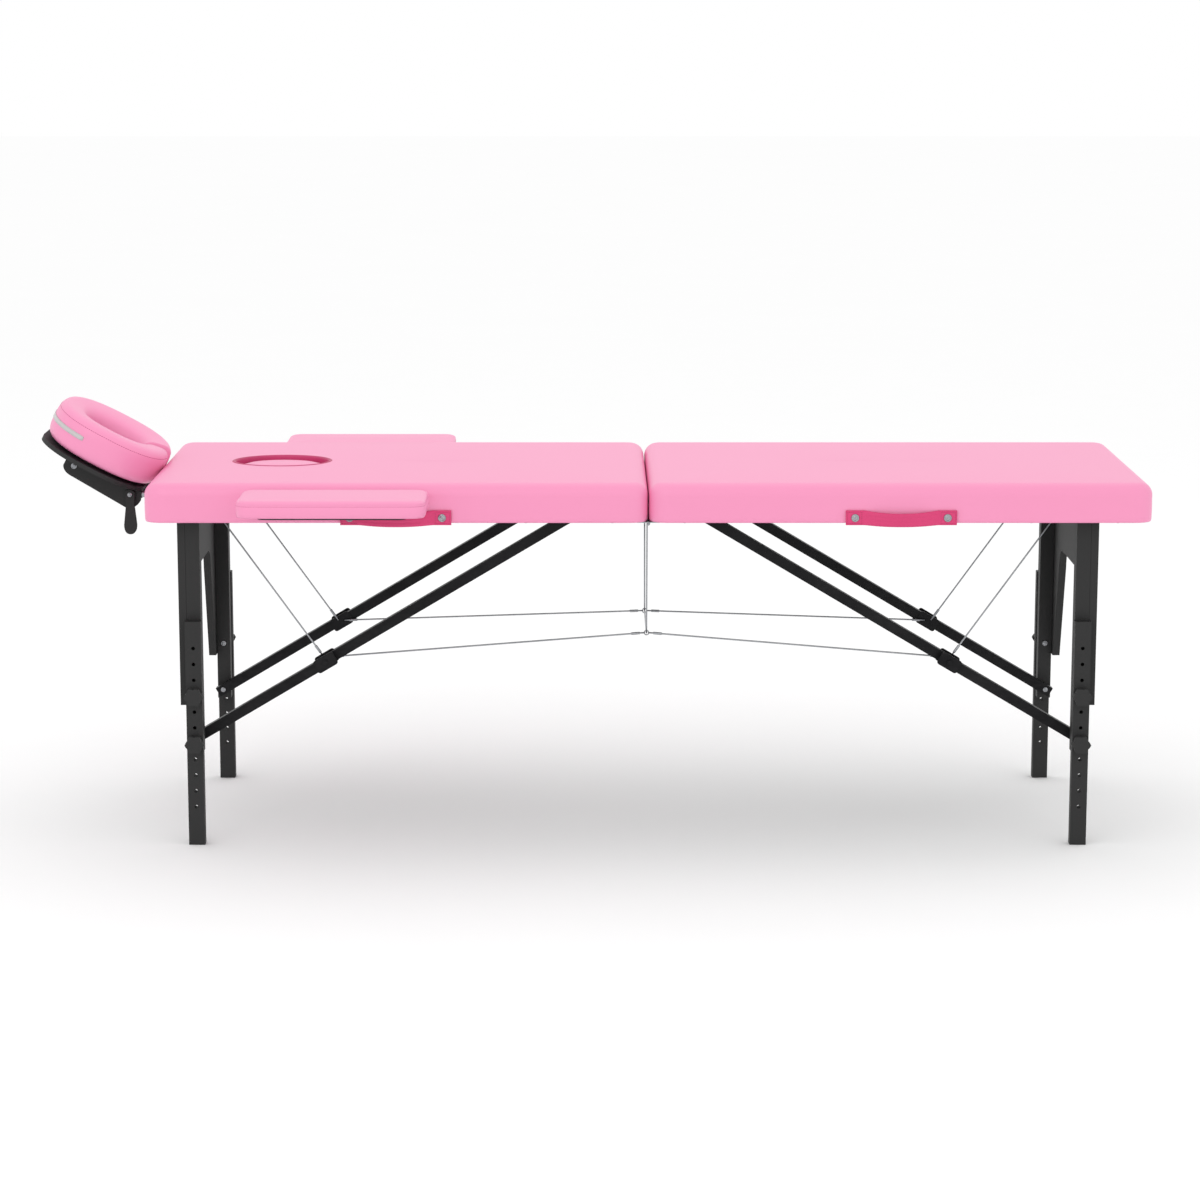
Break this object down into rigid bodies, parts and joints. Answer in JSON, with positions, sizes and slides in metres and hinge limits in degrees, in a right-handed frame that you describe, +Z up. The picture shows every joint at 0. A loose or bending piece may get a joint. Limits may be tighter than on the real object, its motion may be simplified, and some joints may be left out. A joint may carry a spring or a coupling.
{
  "type": "portable massage table",
  "caption": "Two-section folding massage table with padded top, face cradle, side armrests, cable-braced wooden legs and adjustable feet.",
  "frame": {"origin": "on the floor, under the middle of the whole table with its face cradle and armrests", "axes": "+X towards the foot end, +Y to the far long side, +Z up"},
  "size_m": [2.0709, 0.9352, 0.8044],
  "materials": {
    "pink_vinyl": "satin",
    "black_wood": "semi-gloss lacquer",
    "deck_board": "matt",
    "black_plastic": "moulded",
    "steel": "bright"
  },
  "bodies": {
    "head_section": {"head_pad": "pink_vinyl", "head_deck": "deck_board", "head_frame": "black_wood", "head_carry_handle": "pink_vinyl", "middle_hinge_head_leaf": "steel", "middle_hinge_pin": "steel", "centre_cable": "steel", "head_front_end_cable": "steel", "head_back_end_cable": "steel", "head_front_long_cable": "steel", "head_back_long_cable": "steel", "front_armrest_pad": "pink_vinyl", "front_armrest_hanger": "black_plastic", "back_armrest_pad": "pink_vinyl", "back_armrest_hanger": "black_plastic", "cradle_carrier": "black_plastic", "cradle_rod_front": "steel", "cradle_rod_back": "steel"},
    "foot_section": {"foot_pad": "pink_vinyl", "foot_deck": "deck_board", "foot_frame": "black_wood", "foot_carry_handle": "pink_vinyl", "middle_hinge_foot_leaf": "steel", "foot_front_end_cable": "steel", "foot_back_end_cable": "steel", "foot_front_long_cable": "steel", "foot_back_long_cable": "steel"},
    "cradle": {"cradle_cushion": "pink_vinyl", "cradle_plate": "black_plastic"},
    "lever": {"cradle_lever": "black_plastic"},
    "plug": {"face_hole_plug": "pink_vinyl"},
    "head_leg_frame": {"head_leg_arch": "black_wood", "head_front_upright": "black_wood", "head_front_leg_extension": "black_wood", "head_front_clamp_knob": "black_plastic", "head_front_brace_knob": "black_plastic", "head_back_upright": "black_wood", "head_back_leg_extension": "black_wood", "head_back_clamp_knob": "black_plastic", "head_back_brace_knob": "black_plastic"},
    "head_lower_braces": {"head_front_lower_brace": "black_wood", "head_back_lower_brace": "black_wood"},
    "head_upper_braces": {"head_front_upper_brace": "black_wood", "head_back_upper_brace": "black_wood"},
    "foot_leg_frame": {"foot_leg_arch": "black_wood", "foot_front_upright": "black_wood", "foot_front_leg_extension": "black_wood", "foot_front_clamp_knob": "black_plastic", "foot_front_brace_knob": "black_plastic", "foot_back_upright": "black_wood", "foot_back_leg_extension": "black_wood", "foot_back_clamp_knob": "black_plastic", "foot_back_brace_knob": "black_plastic"},
    "foot_lower_braces": {"foot_front_lower_brace": "black_wood", "foot_back_lower_brace": "black_wood"},
    "foot_upper_braces": {"foot_front_upper_brace": "black_wood", "foot_back_upper_brace": "black_wood"}
  },
  "joints": [
    {"name": "mid_fold", "type": "hinge", "parent": "head_section", "child": "foot_section", "pos_m": [0.11704, 0, 0.6062], "axis": [0, 1, 0], "range_deg": [0, 90], "deforming": ["centre_cable"]},
    {"name": "head_leg_fold", "type": "hinge", "parent": "head_section", "child": "head_leg_frame", "pos_m": [-0.72296, 0, 0.63], "axis": [0, -1, 0], "range_deg": [0, 78], "deforming": ["head_front_end_cable", "head_front_long_cable", "head_back_end_cable", "head_back_long_cable"]},
    {"name": "head_lower_brace_fold", "type": "hinge", "parent": "head_leg_frame", "child": "head_lower_braces", "pos_m": [-0.72296, 0, 0.193], "axis": [0, -1, 0], "range_deg": [0, 55.9]},
    {"name": "head_upper_brace_fold", "type": "hinge", "parent": "head_section", "child": "head_upper_braces", "pos_m": [0.01204, 0, 0.63], "axis": [0, 1, 0], "range_deg": [0, 29.78]},
    {"name": "foot_leg_fold", "type": "hinge", "parent": "foot_section", "child": "foot_leg_frame", "pos_m": [0.92004, 0, 0.63], "axis": [0, 1, 0], "range_deg": [0, 78], "deforming": ["foot_front_end_cable", "foot_front_long_cable", "foot_back_end_cable", "foot_back_long_cable"]},
    {"name": "foot_lower_brace_fold", "type": "hinge", "parent": "foot_leg_frame", "child": "foot_lower_braces", "pos_m": [0.92004, 0, 0.193], "axis": [0, 1, 0], "range_deg": [0, 55.9]},
    {"name": "foot_upper_brace_fold", "type": "hinge", "parent": "foot_section", "child": "foot_upper_braces", "pos_m": [0.18504, 0, 0.63], "axis": [0, -1, 0], "range_deg": [0, 29.78]},
    {"name": "cradle_tilt", "type": "hinge", "parent": "head_section", "child": "cradle", "pos_m": [-0.97471, 0, 0.68278], "axis": [0, -1, 0], "range_deg": [0, 20]},
    {"name": "lever_swing", "type": "hinge", "parent": "head_section", "child": "lever", "pos_m": [-0.86165, -0.0689, 0.62893], "axis": [0, 1, 0], "range_deg": [0, 70]},
    {"name": "plug_lift", "type": "slide", "parent": "head_section", "child": "plug", "axis": [0, 0, 1], "range_m": [0, 0.06]}
  ],
  "couplings": [
    {"joint": "head_lower_brace_fold", "follows": "head_leg_fold", "ratio": 0.7103},
    {"joint": "head_upper_brace_fold", "follows": "head_leg_fold", "ratio": 0.3754},
    {"joint": "foot_lower_brace_fold", "follows": "foot_leg_fold", "ratio": 0.7103},
    {"joint": "foot_upper_brace_fold", "follows": "foot_leg_fold", "ratio": 0.3754}
  ]
}
